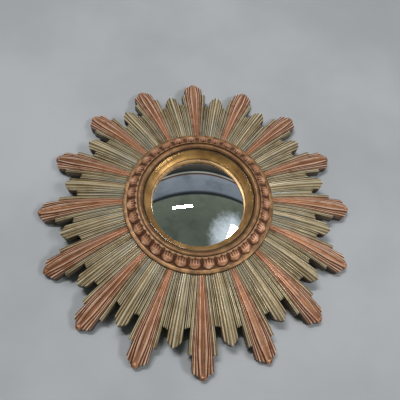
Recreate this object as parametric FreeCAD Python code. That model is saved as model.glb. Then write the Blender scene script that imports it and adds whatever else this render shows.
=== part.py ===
"""Sunburst wall mirror with a convex glass, lying on its back.

Millimetres. Z is the axis of the glass and points out of the wall, +Y is the side that hangs up.
The origin is at the middle of the back, in the plane that the ray tips touch.
"""
import FreeCAD, Part
import math
import os

os.makedirs("parts", exist_ok=True)
V = FreeCAD.Vector

# ---------------------------------------------------------------- driving dimensions
RAYS = 16                        # long rays, with a short one between each two

# the cast ray frame
TIP_RADIUS = 255.0               # tip of a long ray
SHORT_TIP_RADIUS = 215.5         # tip of a short ray
FIELD_RADIUS = 115.0             # where the flutes start, beside the ring moulding
TIP_CREST_Z = 14.0               # top of a long ray at its tip
FIELD_CREST_Z = 57.0             # top of the flutes beside the ring moulding
CREST_BOW = 7.0                  # how far the field bulges above a straight slope
FOOT_RADIUS = 242.0              # the back of each long tip is flat from here out
SHELL_THICKNESS = 13.4           # casting thickness at the hub, between land and back
BACK_BOW = 6.0                   # bulge of the hollow back
LAND_DEPTH = 3.0                 # the ring moulding's seat lies this far under the flutes

# the ring moulding
RING_GAP = 0.2                   # gap between the moulding and the step round its seat
RING_EDGE_HEIGHT = 3.2           # edge of the moulding above the flutes
RING_EDGE_ROUND = 1.2
RING_BORE = 84.5                 # radius of the moulding's inner wall
ROLL_WIDTH = 7.2                 # low roll round the bore
ROLL_HEIGHT = 16.0               # top of the roll above the flutes
ROLL_SHOULDER = 1.0              # the roll's outer edge lies this far under its top
ROLL_FALL = 2.6                  # and its inner edge this far
GROOVE_WIDTH = 1.1               # groove outside the roll
GROOVE_DEPTH = 1.6
RIM_WIDTH = 4.8                  # flat rim outside the lobes
RIM_RISE = 0.8                   # rise of the rim up to the lobes
GADROONS = 32
GADROON_WIDEN = 0.2              # overlap of a lobe with the next, at each side
GADROON_RISE = 2.6               # a lobe's crown above the moulding's slope
BEADLETS = 64                    # small scallops inside the lobes
BEADLET_BAND = 4.4
BEADLET_HALF_WIDTH = 4.2
BEADLET_RISE = 1.3
BEADLET_DROP = 1.6               # the band they stand on lies this far under the roll's top

# the sight ring, the glass and what holds it
SIGHT_GAP = 0.6                  # the dark line between the moulding and the sight ring
SIGHT_RADIUS = 73.2              # visible radius of the glass
SIGHT_TOP_DROP = 5.0             # top of the sight ring under the top of the roll
SIGHT_LIP = 1.0                  # edge of the sight ring over the glass
SIGHT_RIM = 1.5                  # flat rim at the top of the sight ring
SIGHT_COVE = 1.6                 # hollow of the sight ring's slope
FLANGE_WIDTH = 4.0               # flange that traps the sight ring behind the casting
FLANGE_THICKNESS = 6.0
FIT = 0.3                        # clearance of a loose fit
GLASS_EDGE_Z = 55.5              # glass surface at the sight radius
GLASS_CURVE = 200.0              # radius of the front of the glass
GLASS_THICKNESS = 3.0
GLASS_COVER = 4.8                # how far the sight ring laps over the glass
CUSHION_WIDTH = 12.0
BOARD_THICKNESS = 3.0
SEAM_ANGLE = 126.0               # where the sight ring's butt joint is
SEAM_WIDTH = 0.5

# turn buttons and their screws
BUTTONS = 4
BUTTON_PIVOT_OUTSET = 9.0        # pivot outside the edge of the board
BUTTON_LENGTH = 30.0
BUTTON_WIDTH = 10.0
BUTTON_THICKNESS = 1.5
BUTTON_SCREW = 3.0
SCREW_CLEARANCE = 0.1
HEAD_RATIO = 2.0                 # screw head diameter over shank diameter
HEAD_HEIGHT = 2.0
BUTTON_SCREW_DEPTH = 9.0         # screw in the casting

# screws that hold the moulding, from behind
RING_SCREWS = 4
RING_SCREW = 4.0
RING_SCREW_RADIUS = 101.0
RING_SCREW_BITE = 6.0            # length in the moulding
RING_HEAD_HEIGHT = 2.4

# hanger on the back of the top ray
HANGER_INSET = 79.0              # middle of the hanger pad, in from the tips
PAD_WIDTH = 21.0
PAD_LENGTH = 36.0
PAD_RISE = 2.5                   # the pad stands proud of the hollow back
PAD_ROOT = 6.0
STRAP_WIDTH = 12.0
STRAP_LENGTH = 28.0
STRAP_THICKNESS = 1.0
WIRE = 2.4                       # the D-ring's wire
RING_INSIDE_WIDTH = 17.0
RING_LEG = 4.0
HANGER_SCREW = 3.0
HANGER_SCREW_DEPTH = 9.0
HANGER_SCREW_PITCH = 16.0        # one head sits inside the D-ring when it is folded inwards

# the fluted section, from the axis of a long ray to the axis of a short one
HALF_SECTOR = 180.0 / RAYS
NOTCH_RADIUS = 189.0             # the ribs between the rays end here
GOLD_RIB_RADIUS = 223.0          # the ribs along the sides of a long ray end here
SHORT_SHOULDER = 203.0           # a short ray narrows to its tip from here
NOSE_DROPS = [1.5, 6.5, 10.5]    # a long ray's rounded nose, back from the tip at each line
FLUTE = 3.2                      # depth of the main flutes at the tips
RIDGE = 2.6                      # rise of the short rays' ridge over the crest line
# each line of the section: its angle as a share of half a sector, its height over the crest line
# at the tips, and where the strip that follows it ends, at this line and at the next one
SECTION = [
    (0.000, -FLUTE, TIP_RADIUS, TIP_RADIUS - NOSE_DROPS[0]),
    (0.125, 0.0, TIP_RADIUS - NOSE_DROPS[0], TIP_RADIUS - NOSE_DROPS[1]),
    (0.235, -FLUTE, TIP_RADIUS - NOSE_DROPS[1], TIP_RADIUS - NOSE_DROPS[2]),
    (0.345, -0.8 * FLUTE, GOLD_RIB_RADIUS, GOLD_RIB_RADIUS),
    (0.385, -1.3 * FLUTE, GOLD_RIB_RADIUS, GOLD_RIB_RADIUS),
    (0.475, -0.8 * FLUTE, NOTCH_RADIUS, NOTCH_RADIUS),
    (0.505, -1.8 * FLUTE, NOTCH_RADIUS, NOTCH_RADIUS),
    (0.585, -FLUTE, NOTCH_RADIUS, NOTCH_RADIUS),
    (0.665, -1.8 * FLUTE, NOTCH_RADIUS, NOTCH_RADIUS),
    (0.735, -1.4 * FLUTE, SHORT_SHOULDER, SHORT_TIP_RADIUS),
    (1.000, RIDGE, None, None),
]
# every strip that runs on past one of these is divided there, so that neighbours share their edges
STATIONS = [NOTCH_RADIUS, GOLD_RIB_RADIUS, FOOT_RADIUS]

# ---------------------------------------------------------------- levels worked out from them
LAND_Z = FIELD_CREST_Z - LAND_DEPTH
BACK_Z = LAND_Z - SHELL_THICKNESS
RING_RADIUS = FIELD_RADIUS - RING_GAP
RING_EDGE_Z = FIELD_CREST_Z + RING_EDGE_HEIGHT
CROWN_Z = FIELD_CREST_Z + ROLL_HEIGHT
SIGHT_OUTER = RING_BORE - SIGHT_GAP
FLANGE_RADIUS = SIGHT_OUTER + FLANGE_WIDTH
HUB_BORE = RING_BORE + FIT
RECESS_RADIUS = FLANGE_RADIUS + FIT
BOARD_RADIUS = FLANGE_RADIUS
GLASS_RADIUS = SIGHT_RADIUS + GLASS_COVER
GLASS_BORE = GLASS_RADIUS + FIT
BOARD_FRONT_Z = BACK_Z + BOARD_THICKNESS
FLANGE_Z = BOARD_FRONT_Z + FLANGE_THICKNESS
SPHERE_Z = GLASS_EDGE_Z - math.sqrt(GLASS_CURVE ** 2 - SIGHT_RADIUS ** 2)
SIGHT_TOP_Z = CROWN_Z - SIGHT_TOP_DROP
HANGER_RADIUS = TIP_RADIUS - HANGER_INSET


def crest_z(radius):
    """Height of the crest line of the flutes."""
    u = (radius - FIELD_RADIUS) / (TIP_RADIUS - FIELD_RADIUS)
    return FIELD_CREST_Z + (TIP_CREST_Z - FIELD_CREST_Z) * u + CREST_BOW * 4 * u * (1 - u)


def back_z(radius):
    """Height of the hollow back, which ends in a flat foot behind each long tip."""
    u = (radius - FIELD_RADIUS) / (FOOT_RADIUS - FIELD_RADIUS)
    if u >= 1:
        return 0.0
    return BACK_Z * (1 - u) + BACK_BOW * 4 * u * (1 - u)


def top_point(line, radius):
    angle, depth = line
    z = crest_z(radius) + depth * radius / TIP_RADIUS
    return V(radius * math.cos(angle), radius * math.sin(angle), z)


def back_point(line, radius):
    angle = line[0]
    return V(radius * math.cos(angle), radius * math.sin(angle), back_z(radius))


def bezier(point, line, start, end):
    """The parabola over one line from start to end: its middle pole is where the end tangents meet."""
    a = point(line, start)
    b = point(line, end)
    middle = point(line, (start + end) / 2)
    curve = Part.BezierCurve()
    curve.setPoles([a, middle * 2 - (a + b) / 2, b])
    return curve.toShape()


def polygon_face(points):
    return Part.Face(Part.makePolygon(points + [points[0]]))


# ---------------------------------------------------------------- the ray frame
def frame_lines():
    """All lines of the fluted field, as (angle, depth), and the end radii of the strip after each."""
    lines = []
    ends = []
    for ray in range(RAYS):
        axis = math.radians(-90.0 + ray * 2 * HALF_SECTOR)
        half = math.radians(HALF_SECTOR)
        for share, depth, here, there in SECTION[:-1]:
            lines.append((axis + share * half, depth))
            ends.append((here, there))
        for i in range(len(SECTION) - 1, 0, -1):
            share, depth = SECTION[i][:2]
            here, there = SECTION[i - 1][2:]
            lines.append((axis + (2 - share) * half, depth))
            ends.append((there, here))
    return lines, ends


def spans(end_a, end_b):
    """The pieces of a strip, as start and end radius on both of its lines."""
    cuts = [FIELD_RADIUS] + [r for r in STATIONS if r < min(end_a, end_b)]
    pieces = [(a, a, b, b) for a, b in zip(cuts, cuts[1:])]
    return pieces + [(cuts[-1], cuts[-1], end_a, end_b)]


def strip_faces(line_a, line_b, end_a, end_b):
    """Top and hollow back of one strip of the fluted field, its end wall and its step at the hub."""
    faces = []
    for start_a, start_b, stop_a, stop_b in spans(end_a, end_b):
        for point in (top_point, back_point):
            if point is back_point and start_a >= FOOT_RADIUS:
                continue
            faces.append(Part.makeRuledSurface(bezier(point, line_a, start_a, stop_a),
                                               bezier(point, line_b, start_b, stop_b)))
    faces.append(polygon_face([top_point(line_a, end_a), top_point(line_b, end_b),
                               back_point(line_b, end_b), back_point(line_a, end_a)]))
    faces.append(polygon_face([top_point(line_a, FIELD_RADIUS), top_point(line_b, FIELD_RADIUS),
                               seat_point(line_b), seat_point(line_a)]))
    return faces


def seat_point(line):
    point = top_point(line, FIELD_RADIUS)
    return V(point.x, point.y, LAND_Z)


def side_wall(line, short_end, long_end):
    """Upright wall on a line where one strip runs on past its neighbour."""
    cuts = [short_end] + [r for r in STATIONS if short_end < r < long_end] + [long_end]
    edges = []
    for start, stop in zip(cuts, cuts[1:]):
        edges.append(bezier(top_point, line, start, stop))
        edges.append(bezier(back_point, line, start, stop))
    for end in (short_end, long_end):
        edges.append(Part.makeLine(top_point(line, end), back_point(line, end)))
    return Part.Face(Part.Wire(Part.__sortEdges__(edges)))


def foot_faces(lines, ends):
    """The flat foot behind each long tip, as one face."""
    reach = [max(before[1], after[0]) for before, after in zip(ends[-1:] + ends[:-1], ends)]
    faces = []
    for first in range(0, len(lines), len(lines) // RAYS):
        tip = []
        i = first
        while reach[i - 1] > FOOT_RADIUS:
            i -= 1
        while reach[i] > FOOT_RADIUS:
            tip.append(i)
            i += 1
        inner = [back_point(lines[i], FOOT_RADIUS) for i in tip]
        outer = [back_point(lines[i], reach[i]) for i in reversed(tip)]
        faces.append(polygon_face(inner + outer))
    return faces


def ring_face(outer, inner_radius, z):
    """Flat face at z between a closed outer wire and a circle."""
    circle = Part.Wire(Part.makeCircle(inner_radius, V(0, 0, z)))
    return Part.makeFace([outer, circle], "Part::FaceMakerBullseye")


def cylinder_face(radius, low, high):
    circle = Part.makeCircle(radius, V(0, 0, low))
    return circle.extrude(V(0, 0, high - low))


def make_ray_frame():
    lines, ends = frame_lines()
    count = len(lines)
    faces = []
    for i in range(count):
        nxt = (i + 1) % count
        faces += strip_faces(lines[i], lines[nxt], ends[i][0], ends[i][1])
        before = ends[i - 1][1]
        after = ends[i][0]
        if before != after:
            faces.append(side_wall(lines[i], min(before, after), max(before, after)))
    faces += foot_faces(lines, ends)
    seat = Part.makePolygon([seat_point(line) for line in lines + lines[:1]])
    back = Part.makePolygon([back_point(line, FIELD_RADIUS) for line in lines + lines[:1]])
    shelf = Part.Wire(Part.makeCircle(RECESS_RADIUS, V(0, 0, FLANGE_Z)))
    faces.append(ring_face(seat, HUB_BORE, LAND_Z))
    faces.append(ring_face(back, RECESS_RADIUS, BACK_Z))
    faces.append(ring_face(shelf, HUB_BORE, FLANGE_Z))
    faces.append(cylinder_face(HUB_BORE, FLANGE_Z, LAND_Z))
    faces.append(cylinder_face(RECESS_RADIUS, BACK_Z, FLANGE_Z))
    shell = Part.makeShell(faces)
    shell.sewShape()
    solid = Part.makeSolid(shell)
    if solid.Volume < 0:
        solid.reverse()
    return solid


def upright(radius, low, high, x=0.0, y=0.0):
    """Upright cylinder at (x, y) from height low to height high."""
    return Part.makeCylinder(radius, high - low, V(x, y, low))


def around(shape, count, first=0.0):
    """Copies of a shape, evenly spaced round the axis of the glass."""
    copies = []
    for i in range(count):
        copy = shape.copy()
        copy.rotate(V(0, 0, 0), V(0, 0, 1), first + i * 360.0 / count)
        copies.append(copy)
    return copies


def turned(edges):
    """Solid turned about Z from a closed outline in the XZ plane."""
    return Part.Face(Part.Wire(edges)).revolve(V(0, 0, 0), V(0, 0, 1), 360)


def lines_through(points):
    return [Part.makeLine(a, b) for a, b in zip(points, points[1:])]


def arc(a, middle, b):
    return Part.Arc(a, middle, b).toShape()


def at(radius, z):
    return V(radius, 0, z)


# ---------------------------------------------------------------- the ring moulding
ROLL_OUTSIDE = RING_BORE + ROLL_WIDTH
BEADLET_INSIDE = ROLL_OUTSIDE + GROOVE_WIDTH
BEADLET_Z = CROWN_Z - BEADLET_DROP
GADROON_OUTSIDE = RING_RADIUS - RIM_WIDTH
GADROON_INSIDE = BEADLET_INSIDE + BEADLET_BAND
GADROON_LOW_Z = RING_EDGE_Z + RIM_RISE


def cap(centre_radius, centre_z, tilt, half_width, rise):
    """Sphere that stands out by rise over a slope tilted outwards, through a circle of half_width."""
    sphere = (half_width ** 2 + rise ** 2) / (2 * rise)
    depth = sphere - rise
    centre = at(centre_radius - depth * math.sin(tilt), centre_z - depth * math.cos(tilt))
    return Part.makeSphere(sphere, centre)


def lobes_on_slope(count, band_in, band_out, low_z, high_z, half_width, rise):
    """A ring of lobes on a slope between two circles, each one cut off upright at both of them."""
    tilt = math.atan2(high_z - low_z, band_out - band_in)
    band = upright(band_out, LAND_Z, CROWN_Z).cut(upright(band_in, LAND_Z, CROWN_Z))
    lobe = cap((band_in + band_out) / 2, (low_z + high_z) / 2, tilt, half_width, rise)
    return around(lobe.common(band), count, 180.0 / count)


def make_ring_moulding():
    edge = RING_EDGE_ROUND
    corner = edge * (1 - math.sqrt(0.5))
    outline = lines_through([at(RING_BORE, CROWN_Z - ROLL_FALL), at(RING_BORE, LAND_Z),
                             at(RING_RADIUS, LAND_Z), at(RING_RADIUS, RING_EDGE_Z - edge)])
    outline.append(arc(at(RING_RADIUS, RING_EDGE_Z - edge),
                       at(RING_RADIUS - corner, RING_EDGE_Z - corner),
                       at(RING_RADIUS - edge, RING_EDGE_Z)))
    outline += lines_through([at(RING_RADIUS - edge, RING_EDGE_Z), at(GADROON_OUTSIDE, GADROON_LOW_Z),
                              at(GADROON_INSIDE, BEADLET_Z), at(BEADLET_INSIDE, BEADLET_Z),
                              at(BEADLET_INSIDE, BEADLET_Z - GROOVE_DEPTH),
                              at(ROLL_OUTSIDE, BEADLET_Z - GROOVE_DEPTH),
                              at(ROLL_OUTSIDE, CROWN_Z - ROLL_SHOULDER)])
    outline.append(arc(at(ROLL_OUTSIDE, CROWN_Z - ROLL_SHOULDER),
                       at(RING_BORE + ROLL_WIDTH * 0.6, CROWN_Z),
                       at(RING_BORE, CROWN_Z - ROLL_FALL)))
    ring = turned(outline)
    half_width = math.pi * (GADROON_OUTSIDE + GADROON_INSIDE) / 2 / GADROONS + GADROON_WIDEN
    lobes = lobes_on_slope(GADROONS, GADROON_INSIDE, GADROON_OUTSIDE, GADROON_LOW_Z, BEADLET_Z,
                           half_width, GADROON_RISE)
    scallops = lobes_on_slope(BEADLETS, BEADLET_INSIDE, GADROON_INSIDE, BEADLET_Z, BEADLET_Z,
                              BEADLET_HALF_WIDTH, BEADLET_RISE)
    ring = ring.fuse(lobes + scallops)
    for hole in around(upright(RING_SCREW / 2 + SCREW_CLEARANCE, LAND_Z,
                               LAND_Z + RING_SCREW_BITE + SCREW_CLEARANCE, RING_SCREW_RADIUS),
                       RING_SCREWS):
        ring = ring.cut(hole)
    return ring.removeSplitter()


# ---------------------------------------------------------------- sight ring, glass and backing
def sphere_z(sphere, radius):
    return SPHERE_Z + math.sqrt(sphere ** 2 - radius ** 2)


def sphere_arc(sphere, start, end):
    """Arc over the glass's own centre, from radius start to radius end."""
    middle = (start + end) / 2
    return arc(at(start, sphere_z(sphere, start)), at(middle, sphere_z(sphere, middle)),
               at(end, sphere_z(sphere, end)))


def make_sight_ring():
    seat = GLASS_CURVE + FIT / 2
    lip_z = sphere_z(seat, SIGHT_RADIUS) + SIGHT_LIP
    rim = SIGHT_OUTER - SIGHT_RIM
    sag = SIGHT_COVE / math.sqrt(2)
    middle = at((rim + SIGHT_RADIUS) / 2 + sag, (SIGHT_TOP_Z + lip_z) / 2 - sag)
    outline = [sphere_arc(seat, SIGHT_RADIUS, GLASS_BORE)]
    outline += lines_through([at(GLASS_BORE, sphere_z(seat, GLASS_BORE)), at(GLASS_BORE, BOARD_FRONT_Z),
                              at(FLANGE_RADIUS, BOARD_FRONT_Z), at(FLANGE_RADIUS, FLANGE_Z),
                              at(SIGHT_OUTER, FLANGE_Z), at(SIGHT_OUTER, SIGHT_TOP_Z),
                              at(rim, SIGHT_TOP_Z)])
    outline.append(arc(at(rim, SIGHT_TOP_Z), middle, at(SIGHT_RADIUS, lip_z)))
    outline += lines_through([at(SIGHT_RADIUS, lip_z), at(SIGHT_RADIUS, sphere_z(seat, SIGHT_RADIUS))])
    saw = Part.makeBox(FLANGE_RADIUS, SEAM_WIDTH, CROWN_Z, V(0, -SEAM_WIDTH / 2, 0))
    saw.rotate(V(0, 0, 0), V(0, 0, 1), SEAM_ANGLE)
    return turned(outline).cut(saw)


def make_glass():
    back = GLASS_CURVE - GLASS_THICKNESS
    outline = [sphere_arc(GLASS_CURVE, 0, GLASS_RADIUS)]
    outline += lines_through([at(GLASS_RADIUS, sphere_z(GLASS_CURVE, GLASS_RADIUS)),
                              at(GLASS_RADIUS, sphere_z(back, GLASS_RADIUS))])
    outline.append(sphere_arc(back, GLASS_RADIUS, 0))
    outline += lines_through([at(0, sphere_z(back, 0)), at(0, sphere_z(GLASS_CURVE, 0))])
    return turned(outline)


def make_cushion():
    top = GLASS_CURVE - GLASS_THICKNESS - FIT
    inner = GLASS_RADIUS - CUSHION_WIDTH
    outline = [sphere_arc(top, inner, GLASS_RADIUS)]
    outline += lines_through([at(GLASS_RADIUS, sphere_z(top, GLASS_RADIUS)),
                              at(GLASS_RADIUS, BOARD_FRONT_Z), at(inner, BOARD_FRONT_Z),
                              at(inner, sphere_z(top, inner))])
    return turned(outline)


# ---------------------------------------------------------------- screws and turn buttons
def screw(shank, head_height, length):
    """Pan-head screw along Z: the underside of its head is at zero and its point at length."""
    body = upright(shank / 2, 0, length - shank / 2)
    point = Part.makeCone(shank / 2, 0.3, shank / 2, V(0, 0, length - shank / 2))
    head = upright(shank * HEAD_RATIO / 2, -head_height, 0)
    head = head.makeFillet(head_height * 0.4, [head.Edges[2]])
    slot = Part.makeBox(shank * HEAD_RATIO, shank * 0.25, head_height * 0.45,
                        V(-shank * HEAD_RATIO / 2, -shank * 0.125, -head_height))
    return head.fuse([body, point]).removeSplitter().cut(slot)


PIVOT_RADIUS = BOARD_RADIUS + BUTTON_PIVOT_OUTSET
BUTTON_FRONT_Z = BACK_Z - FIT
BUTTON_HEAD_Z = BUTTON_FRONT_Z - BUTTON_THICKNESS - FIT
BUTTON_ANGLE = 180.0 / BUTTONS


def make_turn_button(index):
    half = BUTTON_WIDTH / 2
    low = BUTTON_FRONT_Z - BUTTON_THICKNESS
    far = PIVOT_RADIUS - BUTTON_LENGTH + BUTTON_WIDTH
    bar = Part.makeBox(PIVOT_RADIUS - far, BUTTON_WIDTH, BUTTON_THICKNESS, V(far, -half, low))
    ends = [upright(half, low, BUTTON_FRONT_Z, x) for x in (far, PIVOT_RADIUS)]
    button = bar.fuse(ends).removeSplitter()
    button = button.cut(upright(BUTTON_SCREW / 2 + FIT, low, BUTTON_FRONT_Z, PIVOT_RADIUS))
    button.rotate(V(0, 0, 0), V(0, 0, 1), BUTTON_ANGLE + index * 360.0 / BUTTONS)
    return button


def placed_screws(one, radius, z, count, first):
    """Screws standing on a circle, heads towards the wall."""
    one = one.copy()
    one.translate(V(radius, 0, z))
    return Part.makeCompound(around(one, count, first))


# ---------------------------------------------------------------- the hanger
# It is drawn in its own frame, with Y along the back of the ray, -Z out of it and the origin on
# the curve of the hollow back, and then laid against the slope of the back.
STRAP_Z = -PAD_RISE
LOOP_RADIUS = WIRE / 2 + FIT
LOOP_OUTSIDE = LOOP_RADIUS + STRAP_THICKNESS
LOOP_Y = PAD_LENGTH / 2
LOOP_Z = STRAP_Z - LOOP_OUTSIDE


def hanger_placement():
    step = 0.5
    rise = back_z(HANGER_RADIUS + step) - back_z(HANGER_RADIUS - step)
    slope = math.degrees(math.atan2(rise, 2 * step))
    return FreeCAD.Placement(V(0, HANGER_RADIUS, back_z(HANGER_RADIUS)),
                             FreeCAD.Rotation(V(1, 0, 0), slope))


def laid(shape):
    shape = shape.copy()
    shape.Placement = hanger_placement().multiply(shape.Placement)
    return shape


HANGER_PIN = hanger_placement().multVec(V(0, LOOP_Y, LOOP_Z))


def hanger_screw_places():
    middle = LOOP_Y - LOOP_OUTSIDE - STRAP_LENGTH / 2
    return [middle - HANGER_SCREW_PITCH / 2, middle + HANGER_SCREW_PITCH / 2]


def make_pad():
    return Part.makeBox(PAD_WIDTH, PAD_LENGTH, PAD_RISE + PAD_ROOT,
                        V(-PAD_WIDTH / 2, -PAD_LENGTH / 2, STRAP_Z))


def along_x(radius, width, y, z):
    return Part.makeCylinder(radius, width, V(-width / 2, y, z), V(1, 0, 0))


def make_strap():
    start = LOOP_Y - LOOP_OUTSIDE - STRAP_LENGTH
    plate = Part.makeBox(STRAP_WIDTH, STRAP_LENGTH + LOOP_OUTSIDE, STRAP_THICKNESS,
                         V(-STRAP_WIDTH / 2, start, STRAP_Z - STRAP_THICKNESS))
    strap = plate.fuse(along_x(LOOP_OUTSIDE, STRAP_WIDTH, LOOP_Y, LOOP_Z))
    strap = strap.cut(along_x(LOOP_RADIUS, STRAP_WIDTH, LOOP_Y, LOOP_Z)).removeSplitter()
    for y in hanger_screw_places():
        strap = strap.cut(upright(HANGER_SCREW / 2 + SCREW_CLEARANCE, STRAP_Z - STRAP_THICKNESS,
                                  STRAP_Z, 0, y))
    return strap


def make_hanger_ring():
    """A D of round wire that hangs straight down from the strap's loop: a bar, two legs, a half round."""
    half = (RING_INSIDE_WIDTH + WIRE) / 2
    bend = WIRE
    inset = bend * (1 - math.sqrt(0.5))
    y = HANGER_PIN.y
    z = HANGER_PIN.z
    leg_end = z - RING_LEG
    path = [
        Part.makeLine(V(bend - half, y, z), V(half - bend, y, z)),
        arc(V(half - bend, y, z), V(half - inset, y, z - inset), V(half, y, z - bend)),
        Part.makeLine(V(half, y, z - bend), V(half, y, leg_end)),
        arc(V(half, y, leg_end), V(0, y, leg_end - half), V(-half, y, leg_end)),
        Part.makeLine(V(-half, y, leg_end), V(-half, y, z - bend)),
        arc(V(-half, y, z - bend), V(inset - half, y, z - inset), V(bend - half, y, z)),
    ]
    section = Part.Wire(Part.makeCircle(WIRE / 2, V(bend - half, y, z), V(1, 0, 0)))
    return Part.Wire(path).makePipeShell([section], True, False)


def make_hanger_screws():
    screws = []
    for y in hanger_screw_places():
        one = screw(HANGER_SCREW, HEAD_HEIGHT, HANGER_SCREW_DEPTH)
        one.translate(V(0, y, STRAP_Z - STRAP_THICKNESS))
        screws.append(laid(one))
    return Part.makeCompound(screws)


# ---------------------------------------------------------------- assembly
def make_casting():
    """The ray frame with the hanger pad and all screw holes."""
    casting = make_ray_frame().fuse(laid(make_pad()))
    ring_hole = upright(RING_SCREW / 2 + SCREW_CLEARANCE, BACK_Z, LAND_Z, RING_SCREW_RADIUS)
    button_hole = upright(BUTTON_SCREW / 2 + SCREW_CLEARANCE, BACK_Z,
                          BACK_Z + BUTTON_SCREW_DEPTH + SCREW_CLEARANCE, PIVOT_RADIUS)
    holes = around(ring_hole, RING_SCREWS) + around(button_hole, BUTTONS, BUTTON_ANGLE)
    for y in hanger_screw_places():
        holes.append(laid(upright(HANGER_SCREW / 2 + SCREW_CLEARANCE, STRAP_Z,
                                  STRAP_Z + HANGER_SCREW_DEPTH, 0, y)))
    return casting.cut(holes)


nodes = {
    "ray_frame": make_casting(),
    "ring_moulding": make_ring_moulding(),
    "ring_screws": placed_screws(
        screw(RING_SCREW, RING_HEAD_HEIGHT, SHELL_THICKNESS + RING_SCREW_BITE),
        RING_SCREW_RADIUS, BACK_Z, RING_SCREWS, 0.0),
    "sight_ring": make_sight_ring(),
    "mirror_glass": make_glass(),
    "glass_cushion": make_cushion(),
    "backing_board": upright(BOARD_RADIUS, BACK_Z, BOARD_FRONT_Z),
    "turn_button_screws": placed_screws(
        screw(BUTTON_SCREW, HEAD_HEIGHT, BACK_Z - BUTTON_HEAD_Z + BUTTON_SCREW_DEPTH),
        PIVOT_RADIUS, BUTTON_HEAD_Z, BUTTONS, BUTTON_ANGLE),
    "hanger_strap": laid(make_strap()),
    "hanger_ring": make_hanger_ring(),
    "hanger_screws": make_hanger_screws(),
}
for i in range(BUTTONS):
    nodes["turn_button_%d" % (i + 1)] = make_turn_button(i)

for name, shape in nodes.items():
    shape.exportStep("parts/" + name + ".step")
    box = shape.BoundBox
    print("%-20s valid %s solids %d volume %.1f cm3  x %.1f..%.1f y %.1f..%.1f z %.1f..%.1f" % (
        name, shape.isValid(), len(shape.Solids), shape.Volume / 1000,
        box.XMin, box.XMax, box.YMin, box.YMax, box.ZMin, box.ZMax))
print("hanger pin at", HANGER_PIN)
print("turn button pivots at radius", PIVOT_RADIUS, "and height", BUTTON_FRONT_Z)
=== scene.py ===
"""Sunburst wall mirror with a convex glass, as it lies on its back on a pale floor."""
import math

import bpy
import numpy as np
from mathutils import Matrix, Vector


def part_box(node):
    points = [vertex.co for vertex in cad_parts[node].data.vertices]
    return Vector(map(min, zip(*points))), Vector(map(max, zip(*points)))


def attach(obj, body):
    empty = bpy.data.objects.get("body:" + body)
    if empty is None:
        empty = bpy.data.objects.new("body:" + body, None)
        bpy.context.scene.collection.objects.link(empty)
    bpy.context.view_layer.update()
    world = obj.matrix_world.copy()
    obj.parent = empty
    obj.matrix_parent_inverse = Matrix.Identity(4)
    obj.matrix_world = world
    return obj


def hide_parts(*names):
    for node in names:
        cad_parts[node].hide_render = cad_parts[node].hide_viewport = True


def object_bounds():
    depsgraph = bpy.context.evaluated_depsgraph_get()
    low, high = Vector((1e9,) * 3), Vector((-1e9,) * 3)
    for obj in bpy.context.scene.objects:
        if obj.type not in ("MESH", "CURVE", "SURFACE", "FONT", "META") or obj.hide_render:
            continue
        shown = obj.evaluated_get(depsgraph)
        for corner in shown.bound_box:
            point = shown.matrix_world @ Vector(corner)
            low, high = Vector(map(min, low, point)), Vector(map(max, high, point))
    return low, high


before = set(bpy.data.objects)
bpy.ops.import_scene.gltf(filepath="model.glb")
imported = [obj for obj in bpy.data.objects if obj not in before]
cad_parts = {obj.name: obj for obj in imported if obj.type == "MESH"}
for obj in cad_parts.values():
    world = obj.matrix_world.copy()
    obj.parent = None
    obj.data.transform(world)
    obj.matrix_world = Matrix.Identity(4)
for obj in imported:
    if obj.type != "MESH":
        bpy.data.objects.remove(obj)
cad_low, cad_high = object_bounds()

# ---------------------------------------------------------------- ray frame
# The sunburst is one resin casting in a gesso style: sixteen long rays and sixteen short ones, all
# reeded, run out of a hub under the ring moulding. It is painted in copper on the long rays and in
# old gold between them, rubbed through on the ridges, with a brown and grey wax left in the grooves.
# The rubbed ridges are painted lighter still as highlight, and the waxed grooves darker as shade.
MM = 0.001
RAYS = 16
HALF_SECTOR = 180.0 / RAYS                  # degrees
TIP = cad_high.x / MM                       # radius of the long tips
SHORT_TIP = TIP - 39.5
HUB = TIP - 140.0                           # radius where the reeding starts
FANNED = TIP - 50.0                         # radius where the lines have fanned out in full
GOLD_END = TIP - 33.0                       # the gold ribs along a long ray end here
NOTCH_END = TIP - 66.0                      # the ribs in a notch end here
FOOT = TIP - 13.0                           # the back is flat from here out
SEAT_Z = 54.0                               # seat of the ring moulding
HUB_CREST = 57.0                            # height of the face at the hub
TIP_CREST = 14.0                            # and at the tips
CREST_BOW = 7.0
BACK_Z = 40.6                               # height of the hollow back at the hub
BACK_BOW = 6.0
BORE = 84.8
RECESS = 88.2
SHELF_Z = 49.6
LEAST_WALL = 2.0
BRINK = 1.4                                 # the paint of the face runs this far down a wall
MAIN_RIDGE = 1.9                            # degrees of a long ray that its trough and main ridge take
ARRIS = 0.27                                # share of a flute beside its sharp edge that is worn and painted lighter as highlight
WEAR_AND_HIGHLIGHT_SHARE = 0.7                                  # wear and painted highlight there, as a share of those on the edge
UNEVEN = (0.03, 0.04, 0.18)                 # hand-carved spread of degrees at tips and hub, and of height
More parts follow.
